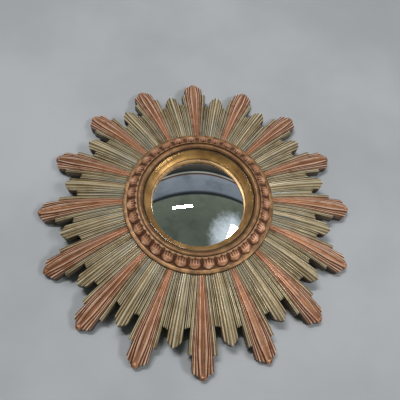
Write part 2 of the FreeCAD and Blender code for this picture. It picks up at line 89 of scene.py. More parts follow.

# Each line of half a sector, from the middle of a long ray to the middle of a short one:
# degrees at the tips, degrees at the hub, height at the tips, hollow of the flute that follows,
# reach of that flute (3 = long ray, 2 = gold rib or short ray, 1 = notch), its steps, and the wear
# of a ridge with its painted highlight, which is below zero for the wax and painted shade of a groove
LINES = [
    # the wear of this first line, down the middle of a long ray's trough, is a painted highlight
    (0.00, 0.00, -3.2, 0.0, 3, 5, 0.5),
    (1.40, 0.95, 1.0, 0.0, 3, 3, 1.4),
    (1.98, 1.32, -2.2, 0.0, 3, 2, -0.9),
    (2.36, 1.64, -1.0, 0.0, 3, 2, 0.7),
    (2.74, 1.94, -3.0, 0.0, 3, 2, -0.7),
    (3.10, 2.22, -1.6, 0.0, 3, 2, 1.1),
    (3.42, 2.48, -3.8, 0.0, 3, 2, -0.9),
    (3.68, 2.66, -2.8, 0.0, 3, 2, 0.7),
    (3.88, 2.85, -5.2, 0.0, 2, 2, -1.0),
    (4.35, 3.35, -2.2, 0.2, 2, 2, 1.1),
    (4.78, 3.80, -4.0, 0.0, 2, 2, -0.5),
    (5.16, 4.25, -3.0, 0.2, 2, 2, 0.5),
    (5.50, 4.60, -5.8, 0.0, 1, 2, -1.0),
    (5.96, 5.15, -2.4, 0.2, 1, 2, 1.1),
    (6.38, 5.64, -4.4, 0.0, 1, 2, -0.6),
    (6.78, 6.12, -3.6, 0.2, 1, 2, 0.4),
    (7.16, 6.56, -5.0, 0.0, 1, 2, -1.0),
    (7.62, 7.10, -2.0, 0.0, 1, 2, 1.2),
    (8.00, 7.50, -5.8, 0.0, 2, 2, -1.0),
    (8.60, 8.20, -2.6, 0.3, 2, 3, 0.7),
    (9.20, 8.85, -3.4, 0.0, 2, 2, -0.6),
    (9.85, 9.60, -1.0, 0.3, 2, 3, 0.55),
    (10.40, 10.25, -1.8, 0.0, 2, 3, -0.45),
    (11.25, 11.25, 3.4, 0.0, 2, 0, 1.3),
]

# How far a line stops short of the tip, by its degrees from the middle of the ray: the stepped nose
# of a long ray, and the arrow of a short one
NOSE = [(0, 0), (1.0, 0.8), (1.6, 2.2), (2.1, 4.8), (2.4, 7.0), (3.0, 8.4), (3.3, 10.6), (3.6, 11.6),
        (3.9, 14.5)]
ARROW = [(8.0, 14.0), (8.7, 8.0), (10.2, 3.2), (11.25, 0.5)]
MIDDLE_OF_NOTCH = 6.8                       # degrees from the middle of a long ray

# Stations along a line: evenly spaced ones, and then some at these distances from the end
HUB_STEPS = 26
RIB_STEPS = 9
NOSE_STEPS = 5
NOTCH_CLOSING = [4.0, 1.6, 0.5, 0.0]
RIB_CLOSING = [4.0, 2.0, 0.8, 0.25, 0.0]
NOSE_CLOSING = [8.0, 6.2, 4.8, 3.6, 2.5, 1.6, 0.9, 0.35, 0.0]
NOTCH_CELLS = HUB_STEPS - 1 + len(NOTCH_CLOSING)
RIB_CELLS = NOTCH_CELLS + RIB_STEPS - 1 + len(RIB_CLOSING)
NOSE_CELLS = RIB_CELLS + NOSE_STEPS - 1 + len(NOSE_CLOSING)
CELLS = (0, NOTCH_CELLS, RIB_CELLS, NOSE_CELLS)      # by reach


def smooth(low, high, x):
    """Smooth step from 0 at low to 1 at high."""
    t = np.clip((x - low) / (high - low), 0.0, 1.0)
    return t * t * (3.0 - 2.0 * t)


def crest_z(radius):
    u = (radius - HUB) / (TIP - HUB)
    return HUB_CREST + (TIP_CREST - HUB_CREST) * u + CREST_BOW * 4 * u * (1 - u)


def back_z(radius):
    u = np.clip((radius - HUB) / (FOOT - HUB), 0.0, 1.0)
    return BACK_Z * (1 - u) + BACK_BOW * 4 * u * (1 - u)


def wax_and_shade_left(wear, away):
    """Wax and painted shade of a groove, at a share of the flute away from it."""
    return -wear * (1.25 - 1.7 * away)


def half_sector(rng):
    """The lines of one half of one ray's sector, with more between them to round each flute.

    Rows of (degrees at the tips, degrees at the hub, height, wear and painted highlight, wax and painted
    shade, reach of the strip after)."""
    table = np.array(LINES)
    jitter = rng.normal(0.0, 1.0, (len(LINES), 3)) * UNEVEN
    jitter[[0, -1], :2] = 0.0
    table[:, :3] += jitter
    rows = []
    for here, there in zip(table, table[1:]):
        steps = int(here[5])
        wear_and_highlight_at = {0.0: here[6], ARRIS: WEAR_AND_HIGHLIGHT_SHARE * here[6], 1 - ARRIS: WEAR_AND_HIGHLIGHT_SHARE * there[6]}
        for t in sorted(list(wear_and_highlight_at) + [k / (steps - 1) for k in range(1, steps - 1)]):
            tip, hub, height = here[:3] + (there[:3] - here[:3]) * t
            wax_and_shade = max(wax_and_shade_left(here[6], t), wax_and_shade_left(there[6], 1 - t), 0.0)
            if here[0] == 0.0:                       # the round-bottomed trough down a long ray
                height = here[2] + (there[2] - here[2]) * t * t
                if 0.45 < t < 1 - ARRIS:             # painted shade along the foot of its ridges
                    wax_and_shade = 0.45
            height -= here[3] * 4 * t * (1 - t)
            rows.append((tip, hub, height, max(wear_and_highlight_at.get(t, 0.0), 0.0), wax_and_shade, here[4]))
    last = table[-1]
    rows.append((last[0], last[1], last[2], last[6], 0.0, last[4]))
    return np.array(rows)


def around_the_hub():
    """All the lines of the casting, in order round it.

    Rows of (degrees at the tips, degrees at the hub, height, wear and painted highlight, wax and painted
    shade, reach of the strip after, degrees from the middle of the ray, number of the ray, side of the ray)."""
    rng = np.random.default_rng(16)
    sector = 2 * HALF_SECTOR
    lines = []
    for ray in range(RAYS):
        axis = -90.0 + ray * sector
        right = half_sector(rng)
        left = half_sector(rng)
        left[[0, -1], 2] = right[[0, -1], 2]
        for row in right[:-1]:
            lines.append([axis + row[0], axis + row[1], *row[2:6], row[0], ray, 1])
        for row, before in zip(left[:0:-1], left[-2::-1]):
            lines.append([axis + sector - row[0], axis + sector - row[1], *row[2:5], before[5],
                          row[0], (ray + 1) % RAYS, -1])
    return np.array(lines)


def line_ends(lines):
    """Radii where the notch, the gold rib or short ray, and the nose end on each line."""
    from_axis = lines[:, 6]
    ray = lines[:, 7].astype(int)
    flank = 2 * ray + (lines[:, 8] > 0)
    rng = np.random.default_rng(7)
    window = 7                                       # lines that a chip of the edge is wide
    rough = rng.normal(0.0, 1.0, len(lines) + window - 1)
    chips = np.convolve(rough, np.ones(window) / window, "valid") * 1.1
    short_by = rng.uniform(0.0, 1.2, RAYS)[ray]
    nose = TIP - 0.2 - short_by - np.interp(from_axis, *zip(*NOSE))
    notch = NOTCH_END + (from_axis - MIDDLE_OF_NOTCH) * 0.9 + chips * 1.2
    notch += rng.uniform(-4.0, 4.0, 2 * RAYS)[flank]
    gold_rib = GOLD_END + chips + rng.uniform(-2.5, 2.0, 2 * RAYS)[flank]
    arrow = SHORT_TIP - np.interp(from_axis, *zip(*ARROW)) + chips * 0.6
    return notch, np.where(from_axis < MIDDLE_OF_NOTCH, gold_rib, arrow), nose


def run(start, stop, count, closing):
    """Stations from start to stop, evenly spaced and then closing up on the end."""
    ends = [stop - c for c in closing]
    inner = [start + (ends[0] - start) * k / count for k in range(1, count)]
    return inner + ends


def face_point(line, reach, r, left):
    """A point of the carved face, and its paint, at radius r on a line that runs on for so much more.

    The paint is wear with painted highlight, wax with painted shade, copper, depth in the wall, the line's
    own degrees, and the radius."""
    tip_turn, hub_turn, height, wear, wax_and_shade, _, a, ray, side = line
    spread = np.clip((r - HUB) / (FANNED - HUB), 0.0, 1.0) ** 0.8
    pinch = 0.38 * smooth(TIP - 42.0, TIP - 3.0, r) * (1.0 - smooth(1.5, 3.4, a))
    turn = math.radians(hub_turn + (tip_turn - hub_turn) * spread - side * a * pinch)
    rounding = 1.3                                   # how far from its end a line starts to turn down
    if reach == 3:
        rounding = 4.6 - 0.7 * a
    if reach == 3 and a < MAIN_RIDGE:                # the trough closes before the nose, in a painted highlight
        closing = 1.0 - smooth(3.5, 9.0, left)
        # the glint is a painted highlight added to the trough's wear
        glint = 0.5 * math.exp(-((left - 4.6) / 1.1) ** 2) * (a < 1.3)
        height = height * (1 - closing) - 0.4 * closing
        wear = wear * (1 - closing) + glint
    if 3.6 < a < 4.0:                                # the step down from the copper to the gold ribs
        height -= 2.4 * smooth(GOLD_END - 5, GOLD_END + 3, r)
    if 5.3 < a < 5.7 or 7.8 < a < 8.3:               # the steps down on both sides of a notch
        height -= 1.6 * smooth(NOTCH_END - 5, NOTCH_END + 3, r)
    d = min(left / rounding, 1.0)
    drop = rounding * (1 - math.sqrt(max(0.0, 1 - (1 - d) ** 2))) * 0.9
    wave = 0.22 * math.sin(r * 0.21 + ray * 2.1) * math.sin(a * 1.3 + ray)
    z = crest_z(r) + (height + wave) * (r / TIP) ** 0.75 - drop
    edge = 2.75 + 1.25 * spread                      # degrees from the axis where the copper stops
    copper = 1.0 - smooth(edge - 0.25, edge + 0.12, a)
    return (r * math.cos(turn), r * math.sin(turn), z), (wear, wax_and_shade, copper, 0.0, tip_turn, r)


def add_walls(vertices, marks, faces, roots, below):
    """The walls from the face's open edges down to the same edges of the back, which has its points
    below places further on in the list. The edge between the roots is left to the hub."""
    edges = {}
    for face in faces:
        for pair in zip(face, face[1:] + face[:1]):
            edges[pair] = True
    skirt = {}

    def brink(v):
        """The point on the wall just under a top edge."""
        if v not in skirt:
            x, y, z = vertices[v]
            skirt[v] = len(vertices)
            vertices.append((x, y, z - BRINK))
            marks.append((0.0, 0.2, marks[v][2], 0.6, *marks[v][4:]))
        return skirt[v]

    walls = []
    for a, b in edges:
        if (b, a) in edges or (a in roots and b in roots):
            continue
        walls.append((b, a, brink(a), brink(b)))
        walls.append((brink(b), brink(a), below + a, below + b))
    return walls


def add_hub(vertices, marks, lines, roots, below):
    """The flat seat inside the reeding, and the stepped bore."""
    profile = [(HUB, SEAT_Z), (BORE, SEAT_Z), (BORE, SHELF_Z), (RECESS, SHELF_Z), (RECESS, BACK_Z)]
    rows = [roots]
    for r, z in profile:
        rows.append(range(len(vertices), len(vertices) + len(lines)))
        for line in lines:
            turn = math.radians(line[1])
            vertices.append((r * math.cos(turn), r * math.sin(turn), z))
            marks.append((0.0, 0.5, 0.0, 1.0, line[0], r))
    rows.append([below + v for v in roots])
    hub = []
    for outer, inner in zip(rows, rows[1:]):
        for i in range(len(lines)):
            j = (i + 1) % len(lines)
            face = (outer[i], outer[j], inner[j], inner[i])
            hub.append(face)
    return hub


def build_ray_frame():
    lines = around_the_hub()
    count = len(lines)
    strip = lines[:, 5].astype(int)
    reach = np.maximum(strip, np.roll(strip, 1))
    notch, rib, nose = line_ends(lines)
    vertices = []
    marks = []
    roots = []
    for i in range(count):
        stations = [HUB] + run(HUB, notch[i], HUB_STEPS, NOTCH_CLOSING)
        if reach[i] >= 2:
            stations += run(notch[i], rib[i], RIB_STEPS, RIB_CLOSING)
        if reach[i] == 3:
            stations += run(rib[i], nose[i], NOSE_STEPS, NOSE_CLOSING)
        roots.append(len(vertices))
        for r in stations:
            point, paint = face_point(lines[i], reach[i], r, stations[-1] - r)
            vertices.append(point)
            marks.append(paint)
    face = []
    for i in range(count):
        a, b = roots[i], roots[(i + 1) % count]
        face += [(a + k, a + k + 1, b + k + 1, b + k) for k in range(CELLS[strip[i]])]
    below = len(vertices)
    for k in range(below):
        x, y, z = vertices[k]
        vertices.append((x, y, min(back_z(math.hypot(x, y)), z - LEAST_WALL)))
        marks.append((0.0, 0.0, marks[k][2], 1.0, *marks[k][4:]))
    back = [tuple(below + v for v in reversed(cell)) for cell in face]
    walls = add_walls(vertices, marks, face, set(roots), below)
    hub = add_hub(vertices, marks, lines, roots, below)
    return vertices, face + walls + back + hub, marks


def add_pad(vertices, faces, marks):
    """The flat island that the hanger is screwed to, across the hollow back of the top ray."""
    middle = TIP - 79.0
    half_width = 10.5
    half_length = 18.0
    corner = 1.6
    rows = ((6.0, 0.0), (-1.9, 0.0), (-2.35, 0.15), (-2.5, 0.6))     # height over the back, and how much in
    slope = math.atan2(back_z(middle + 0.5) - back_z(middle - 0.5), 1.0)
    ring = []
    for z, shrink in rows:
        x = half_width - shrink
        y = half_length - shrink
        corners = [(x - corner, -y), (x, corner - y), (x, y - corner), (x - corner, y),
                   (corner - x, y), (-x, y - corner), (-x, corner - y), (corner - x, -y)]
        row = []
        for u, v in corners:
            row.append(len(vertices))
            vertices.append((u, middle + v * math.cos(slope) - z * math.sin(slope),
                             back_z(middle) + v * math.sin(slope) + z * math.cos(slope)))
            marks.append((0.0, 0.3, 0.0, 1.0, 0.0, middle))
        ring.append(row)
    count = len(ring[0])
    for low, high in zip(ring, ring[1:]):
        faces += [(low[k], low[(k + 1) % count], high[(k + 1) % count], high[k]) for k in range(count)]
    faces += [tuple(reversed(ring[0])), tuple(ring[-1])]


def add_piece(name, vertices, faces, body, slot, *stands_for):
    """A mesh in millimetres becomes a piece that rides on a body and stands for CAD nodes."""
    mesh = bpy.data.meshes.new(name)
    mesh.from_pydata([Vector(v) * MM for v in vertices], [], faces)
    mesh.validate()
    mesh.shade_smooth()
    mesh.set_sharp_from_angle(angle=math.radians(40))
    piece = bpy.data.objects.new(name, mesh)
    bpy.context.scene.collection.objects.link(piece)
    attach(piece, body)
    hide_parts(*stands_for)
    return piece


def store(piece, name, values):
    """A number or a vector per point, which the finish reads by its name."""
    values = np.asarray(values, np.float32)
    one = values.ndim == 1
    attribute = piece.data.attributes.new(name, "FLOAT" if one else "FLOAT_VECTOR", "POINT")
    attribute.data.foreach_set("value" if one else "vector", values.ravel())


frame_points, frame_faces, frame_marks = build_ray_frame()
add_pad(frame_points, frame_faces, frame_marks)
rays = add_piece("sunburst_casting", frame_points, frame_faces, "mirror", "gilt_resin", "ray_frame")
wear, wax_and_shade, copper, wall, turn, out = np.array(frame_marks).T
store(rays, "wear", wear)
store(rays, "groove", wax_and_shade)
store(rays, "copper", copper)
store(rays, "wall", wall)
reed = [np.degrees(np.cos(np.radians(turn))), np.degrees(np.sin(np.radians(turn))), out * 0.006 + wall]
store(rays, "reed", np.stack(reed, 1))
store(rays, "out", out)


class Signal:
    """One output in a finish's node tree. Sums and products of it add Math nodes."""

    def __init__(self, tree, socket=None):
        self.tree = tree
        self.socket = socket

    def plug(self, target, value):
        if isinstance(value, Signal):
            self.tree.links.new(value.socket, target)
        else:
            target.default_value = value

    def node(self, kind, settings, inputs, output=0):
        made = self.tree.nodes.new(kind)
        for name, value in settings.items():
            if name == "stops":
                ramp = made.color_ramp.elements
                ramp.remove(ramp[1])
                ramp[0].position, ramp[0].color = value[0]
                for place, colour in value[1:]:
                    ramp.new(place).color = colour
            else:
                setattr(made, name, value)
        for key, value in inputs.items():
            self.plug(made.inputs[key], value)
        return Signal(self.tree, made.outputs[output])

    def math(self, operation, *values):
        return self.node("ShaderNodeMath", {"operation": operation}, dict(enumerate(values)))

    def __add__(self, other):
        return self.math("ADD", self, other)

    def __sub__(self, other):
        return self.math("SUBTRACT", self, other)

    def __rsub__(self, other):
        return self.math("SUBTRACT", other, self)

    def __mul__(self, other):
        return self.math("MULTIPLY", self, other)

    def __truediv__(self, other):
        return self.math("DIVIDE", self, other)

    __radd__ = __add__
    __rmul__ = __mul__


def rgb(red, green, blue):
    """A colour as it looks on screen, 0 to 255, as the linear one that shaders take."""
    parts = [c / 255 for c in (red, green, blue)]
    return tuple(c / 12.92 if c <= 0.04045 else ((c + 0.055) / 1.055) ** 2.4 for c in parts) + (1.0,)


def finish_named(name, **fixed):
    """A new finish: its first signal, to build others from, and its shader."""
    material = bpy.data.materials.new(name)
    material.use_nodes = True
    shader = material.node_tree.nodes["Principled BSDF"]
    for key, value in fixed.items():
        shader.inputs[key.replace("_", " ")].default_value = value
    return material, Signal(material.node_tree), shader


def feed(shader, links):
    """Links signals to the shader's sockets."""
    for socket, signal in links.items():
        signal.plug(shader.inputs[socket], signal)


def mixed(a, b, share):
    """Colour a turning into colour b."""
    start = share if isinstance(share, Signal) else a
    return start.node("ShaderNodeMix", {"data_type": "RGBA"}, {0: share, 6: a, 7: b}, 2)


def stored(start, name):
    return start.node("ShaderNodeAttribute", {"attribute_name": name}, {}, "Fac")


def stored_place(start, name):
    return start.node("ShaderNodeAttribute", {"attribute_name": name}, {}, "Vector")


def own_place(start):
    return start.node("ShaderNodeTexCoord", {}, {}, "Object")


def noise(place, scale, detail=3.0, roughness=0.55):
    return place.node("ShaderNodeTexNoise", {}, {"Vector": place, "Scale": scale, "Detail": detail,
                                                 "Roughness": roughness}, "Fac")


def between(signal, low, high, out_low=0.0, out_high=1.0):
    """The signal's stretch from low to high, eased and spread over a new range."""
    return signal.node("ShaderNodeMapRange", {"interpolation_type": "SMOOTHSTEP"},
                       {0: signal, 1: low, 2: high, 3: out_low, 4: out_high})


def bumped(height, distance, strength=1.0):
    return height.node("ShaderNodeBump", {}, {"Height": height, "Distance": distance,
                                              "Strength": strength}, "Normal")


def paint_with_wear_and_painted_light():
    """Copper and old gold paint over brown, rubbed on the ridges and waxed in the hollows, with painted
    highlight on the ridges and painted shade in the hollows.
    """
    material, start, shader = finish_named("copper_and_gold_with_wear_and_painted_light", IOR=1.45)
    place = own_place(start)
    reed = stored_place(start, "reed")
    wear = stored(start, "wear")
    groove = stored(start, "groove")
    copper = stored(start, "copper")
    wall = stored(start, "wall")
    mottle = noise(place, 60.0, 4.0)
    fine = noise(place, 420.0, 5.0, 0.7)
    streak = noise(reed, 2.4, 4.0, 0.6)
    cloud = noise(place, 14.0, 2.0)
    broad = noise(reed, 1.1, 2.0)
    out = stored(start, "out")
    warm = mixed(rgb(106, 62, 36), rgb(194, 138, 98), between(streak, 0.36, 0.64))
    warm = mixed(warm, rgb(168, 106, 62), between(out, 200.0, 130.0) * 0.5)
    warm = mixed(warm, rgb(80, 46, 30), between(broad, 0.52, 0.66) * 0.6)
    warm = mixed(warm, rgb(228, 178, 148), between(broad, 0.46, 0.34) * 0.5)
    warm = mixed(warm, rgb(84, 50, 34), between(mottle, 0.52, 0.7) * 0.5)
    gold = mixed(rgb(112, 94, 64), rgb(202, 184, 146), between(streak, 0.36, 0.64))
    gold = mixed(gold, rgb(136, 104, 64), between(broad, 0.5, 0.64) * 0.7)
    gold = mixed(gold, rgb(128, 136, 136), between(out, 190.0, 130.0) * between(broad, 0.5, 0.36) * 0.9)
    coat = mixed(gold, warm, copper)
    # rubbed paint on the ridges, pale enough to stand for a painted highlight as well
    rubbed_and_highlight_colour = mixed(rgb(240, 230, 204), rgb(255, 222, 198), copper)
    rub_and_highlight = wear * between(mottle, 0.3, 0.6, 0.55, 1.0)
    coat = mixed(coat, rubbed_and_highlight_colour, between(rub_and_highlight, 0.2, 0.9) * 0.9)
    # wax in the grooves, dark enough to stand for painted shade as well
    wax_and_shade = mixed(rgb(36, 27, 18), rgb(66, 58, 46), between(cloud, 0.4, 0.6))
    wax_and_shade = mixed(wax_and_shade, rgb(92, 50, 30), copper * 0.85)
    coat = mixed(coat, wax_and_shade, between(groove + fine * 0.5 - 0.25, 0.1, 0.75) * 0.95)
    coat = mixed(coat, rgb(52, 34, 24), between(wall, 0.2, 0.9) * 0.9)
    feed(shader, {
        "Base Color": coat,
        "Roughness": 0.34 - rub_and_highlight * 0.16 + fine * 0.14 + wall * 0.28,
        "Metallic": 0.45 - between(groove, 0.2, 0.9) * 0.3 - between(wall, 0.2, 0.9) * 0.35,
        "Normal": bumped(fine * 0.5 + streak * (1 - wall * 0.85), 0.0005, 0.5),
    })
    return material


rays.data.materials.append(paint_with_wear_and_painted_light())

# ---------------------------------------------------------------- ring moulding
# A turned and cast ring seated over the roots of the rays: a smooth gold rim, thirty-two shell
# lobes, a row of small teeth, a groove and a bead round the bore. Screwed on from behind.
RING_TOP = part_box("ring_moulding")[1].z / MM
LOBES = 32
TEETH = 64
LOBE_STEPS = 36
RING_OUT = 114.8
RING_BORE = 84.5
FOOT_TOP = 57.8                             # the outer foot, painted dark as shade under the rim, ends here
RIM_EDGE = 1.6                              # rounding of the rim's outer edge
RIM_Z = 60.2
RIM_FLAT = 4.0
RIM_SWELL = 0.5
LOBE_OUT = 109.0
LOBE_IN = 97.2
LOBE_Z = RIM_Z + 0.8
LOBE_RISE = 4.2
LOBE_WIDTH = 0.96                           # share of its place that a lobe fills
FLUTES = 5
FLUTE_DEPTH = 0.8
TEETH_IN = 92.8
TEETH_Z = RING_TOP - 1.7
TEETH_FALL = 0.6
TOOTH_RISE = 1.2
TOOTH_WIDTH = 0.9
ROLL_GROOVE = 1.3
ROLL_OUT = 91.7
ROLL_TOP = 88.8
ROLL_SHOULDER = 1.0
ROLL_FALL = 2.6
ROLL_FOOT = 66.0
RIM, GROOVED, LOBED, TOOTHED, ROLLED, BORED = range(6)      # zones of the profile


def ring_profile():
    """(radius, height, zone) from the outer foot, over the top, to the foot of the bore."""
    outline = [(RING_OUT, SEAT_Z, GROOVED), (RING_OUT, FOOT_TOP, GROOVED), (RING_OUT, RIM_Z - RIM_EDGE, RIM)]
    for step in range(1, 8):
        turn = math.pi / 2 * step / 7
        r = RING_OUT - RIM_EDGE * (1 - math.cos(turn))
        outline.append((r, RIM_Z - RIM_EDGE * (1 - math.sin(turn)), RIM))
    for step in range(1, 5):
        t = step / 4
        z = RIM_Z + RIM_SWELL * math.sin(0.7 * math.pi * t)
        outline.append((RING_OUT - RIM_EDGE - RIM_FLAT * t, z, RIM))
    for step in range(31):
        t = step / 30
        z = LOBE_Z + (TEETH_Z - TEETH_FALL - LOBE_Z) * t ** 1.3
        outline.append((LOBE_OUT + (LOBE_IN - LOBE_OUT) * t, z, LOBED))
    for step in range(1, 9):
        t = step / 9
        outline.append((LOBE_IN + (TEETH_IN - LOBE_IN) * t, TEETH_Z - TEETH_FALL * (1 - t), TOOTHED))
    outline += [(TEETH_IN, TEETH_Z - ROLL_GROOVE, GROOVED), (ROLL_OUT, TEETH_Z - ROLL_GROOVE, GROOVED)]
    for step in range(5):
        t = 1 - step / 4
        outline.append((ROLL_TOP + (ROLL_OUT - ROLL_TOP) * t, RING_TOP - ROLL_SHOULDER * t * t, ROLLED))
    for step in range(1, 9):
        t = step / 8
        outline.append((ROLL_TOP + (RING_BORE - ROLL_TOP) * t, RING_TOP - ROLL_FALL * t * t, ROLLED))
    return outline + [(RING_BORE, ROLL_FOOT, BORED), (RING_BORE, SEAT_Z, BORED)]


def lobe_height(across, along):
    """Height of a shell lobe, and how far up its crown the point is, less in its flutes.

    across is -1 to 1 over its width, along 0 at the inside to 1 at the rim."""
    half = 1.0 - (1.0 - LOBE_WIDTH) * along / 0.5
    if along >= 0.5:
        half = LOBE_WIDTH * math.sqrt(max(0.0, 1.0 - ((along - 0.5) / 0.47) ** 2))
    if half <= 0.02 or abs(across) >= half:
        return 0.0, 0.0
    u = across / half
    dome = (1 - u * u) ** 0.42
    swell = 0.38 + 0.62 * smooth(0.0, 0.65, along)
    flute = (0.5 - 0.5 * math.cos(math.pi * FLUTES * (u + 1))) * (1.0 - smooth(0.3, 0.62, along))
    return LOBE_RISE * dome * swell - FLUTE_DEPTH * flute * dome, dome * (1 - 0.6 * flute)


def tooth_height(across, along):
    """Height of a small tooth, as a share: a row of lumps that runs into one smooth ridge inside."""
    u = abs(across) / TOOTH_WIDTH
    lump = math.sqrt(1 - u * u) * math.sin(math.pi / 2 * min(1.0, along / 0.4)) if u < 1 else 0.0
    ridge = smooth(0.35, 0.75, along)
    return lump * (1 - ridge) + ridge


def build_ring():
    outline = ring_profile()
    around = LOBES * LOBE_STEPS
    unlike = np.random.default_rng(3).normal(0.0, 0.10, LOBES)       # how much each lobe stands out
    vertices = []
    marks = []
    for r, z, zone in outline:
        for k in range(around):
            lift, crown = 0.0, 0.0
            if zone == LOBED:
                inwards = (LOBE_OUT - r) / (LOBE_OUT - LOBE_IN)
                lift, crown = lobe_height(2 * (k / LOBE_STEPS % 1.0) - 1, 1 - inwards)
                lift *= 1 + unlike[k // LOBE_STEPS]
            if zone == TOOTHED:
                crown = tooth_height(2 * (k * TEETH / around % 1.0) - 1, (LOBE_IN - r) / (LOBE_IN - TEETH_IN))
                lift = TOOTH_RISE * crown
            turn = 2 * math.pi * k / around
            vertices.append((r * math.cos(turn), r * math.sin(turn), z + lift))
            marks.append((crown, zone))
    faces = []
    for i in range(len(outline)):
        low = i * around
        high = (i + 1) % len(outline) * around
        for k in range(around):
            m = (k + 1) % around
            faces.append((low + k, low + m, high + m, high + k))
    return vertices, faces, np.array(marks)


ring_points, ring_faces, ring_marks = build_ring()
ring = add_piece("gadrooned_ring", ring_points, ring_faces, "mirror", "copper_resin", "ring_moulding")
store(ring, "crown", ring_marks[:, 0])
for zone_name, zone in (("lobed", LOBED), ("toothed", TOOTHED), ("grooved", GROOVED), ("rolled", ROLLED)):
    store(ring, zone_name, ring_marks[:, 1] == zone)


def ring_paint():
    material, start, shader = finish_named("copper_ring_with_painted_light", IOR=1.45)
    place = own_place(start)
    crown = stored(start, "crown")
    lobed = stored(start, "lobed")
    toothed = stored(start, "toothed")
    grooved = stored(start, "grooved")
    mottle = noise(place, 90.0, 4.0)
    fine = noise(place, 500.0, 5.0, 0.7)
    cloud = noise(place, 18.0, 2.0)
    gold = mixed(rgb(98, 70, 44), rgb(146, 110, 72), between(mottle, 0.35, 0.65))
    gold = mixed(gold, rgb(92, 62, 42), between(cloud, 0.5, 0.7) * 0.6)
    # lobes painted lighter towards their crowns and darker at their sides as painted light and shade, with a
    # painted highlight on the crown
    copper = mixed(rgb(96, 62, 46), rgb(178, 128, 98), between(crown, 0.35, 0.9))
    copper = mixed(copper, rgb(226, 184, 158), between(crown * (mottle + 0.45), 0.86, 1.06) * 0.7)
    # painted shade in the low ground between the lobes
    shade_between_lobes = between(crown, 0.12, 0.0)
    coat = mixed(gold, rgb(78, 48, 32), lobed * shade_between_lobes * 0.7)
    coat = mixed(coat, copper, lobed * (1 - shade_between_lobes))
    # teeth painted lighter on top and darker at their sides as painted light and shade
    teeth = mixed(rgb(62, 38, 24), rgb(134, 98, 68), between(crown, 0.35, 0.9))
    coat = mixed(coat, teeth, toothed)
    coat = mixed(coat, rgb(92, 62, 36), stored(start, "rolled") * 0.4)
    # painted shade in the groove inside the teeth and on the outer foot
    coat = mixed(coat, rgb(42, 24, 14), between(grooved, 0.3, 0.9) * 0.9)
    feed(shader, {
        "Base Color": coat,
        "Roughness": 0.38 + fine * 0.18,
        "Metallic": 0.5 - grooved * 0.3,
        "Normal": bumped(fine * 0.4 + mottle, 0.0004, 0.4),
    })
    return material


ring.data.materials.append(ring_paint())

# ---------------------------------------------------------------- sight ring
# The hollow gold ring between moulding and glass: a strip bent round and butted in one seam at the
# upper left, dropped in from behind and trapped by its flange.
LIP_RADIUS = 73.2
LIP_Z = 55.7
LIP_TOP = 56.5
COVE_IN = (73.4, 56.7)                      # radius and height where the cove starts
COVE_RADIUS = 82.4
COVE_SAG = 1.12                             # depth of the cove, along and across alike
SIGHT_TOP = 68.0
SIGHT_BRINK = 82.5                          # radius where the cove turns over onto the flat top
SIGHT_FLAT = (82.9, 83.6)                   # radii of the flat top
SIGHT_OUT = 83.9
FLANGE_RADIUS = 87.9
FLANGE_TOP = SHELF_Z
FLANGE_FOOT = 43.6
SIGHT_BORE = 78.3
UNDERSIDE = (75.7, 54.7)                    # radius and height where the underside meets the lip
UNDERSIDE_Z = 53.6                          # its height at the bore
SEAM = 126.0                                # degrees
SEAM_WIDTH = 0.5
SIGHT_STEPS = 420


def sight_profile():
    """(radius, height) from the lip by the glass, over the cove and down the flange, and back."""
    outline = [(LIP_RADIUS, LIP_Z), (LIP_RADIUS, LIP_TOP)]
    for step in range(1, 12):
        t = step / 12
        sag = COVE_SAG * math.sin(math.pi * t)
        outline.append((COVE_IN[0] + (COVE_RADIUS - COVE_IN[0]) * t + sag,
                        COVE_IN[1] + (SIGHT_TOP - COVE_IN[1]) * t - sag))
    outline += [(SIGHT_BRINK, SIGHT_TOP - 0.1)]
    outline += [(r, SIGHT_TOP) for r in SIGHT_FLAT]
    outline += [(SIGHT_OUT, SIGHT_TOP - 0.3)]
    outline += [(SIGHT_OUT, FLANGE_TOP), (FLANGE_RADIUS, FLANGE_TOP), (FLANGE_RADIUS, FLANGE_FOOT)]
    outline += [(SIGHT_BORE, FLANGE_FOOT), (SIGHT_BORE, UNDERSIDE_Z), UNDERSIDE]
    return outline


def build_sight_ring():
    outline = sight_profile()
    gap = SEAM_WIDTH / 2 / SIGHT_BORE
    begin = math.radians(SEAM) + gap
    sweep = 2 * math.pi - 2 * gap
    vertices = []
    for step in range(SIGHT_STEPS + 1):
        turn = begin + sweep * step / SIGHT_STEPS
        for r, z in outline:
            vertices.append((r * math.cos(turn), r * math.sin(turn), z))
    size = len(outline)
    faces = []
    for step in range(SIGHT_STEPS):
        for i in range(size):
            j = (i + 1) % size
            a, b = step * size, (step + 1) * size
            faces.append((a + i, a + j, b + j, b + i))
    faces.append(tuple(range(size)))
    faces.append(tuple(reversed(range(SIGHT_STEPS * size, (SIGHT_STEPS + 1) * size))))
    return vertices, faces


def liner_gold():
    material, start, shader = finish_named("liner_gold", IOR=1.45)
    place = own_place(start)
    mottle = noise(place, 40.0, 4.0)
    fine = noise(place, 300.0, 4.0, 0.7)
    coat = mixed(rgb(136, 100, 56), rgb(188, 146, 88), between(mottle, 0.35, 0.7))
    coat = mixed(coat, rgb(96, 66, 36), between(fine * mottle, 0.3, 0.45) * 0.4)
    coat = mixed(coat, rgb(26, 16, 8), stored(start, "joint") * 0.95)     # painted shadow in the gap between the roll and the liner's flat top
    feed(shader, {
        "Base Color": coat,
        "Roughness": 0.36 + fine * 0.14,
        "Metallic": 0.6 + mottle * 0.1,
        "Normal": bumped(fine, 0.0002, 0.4),
    })
    return material


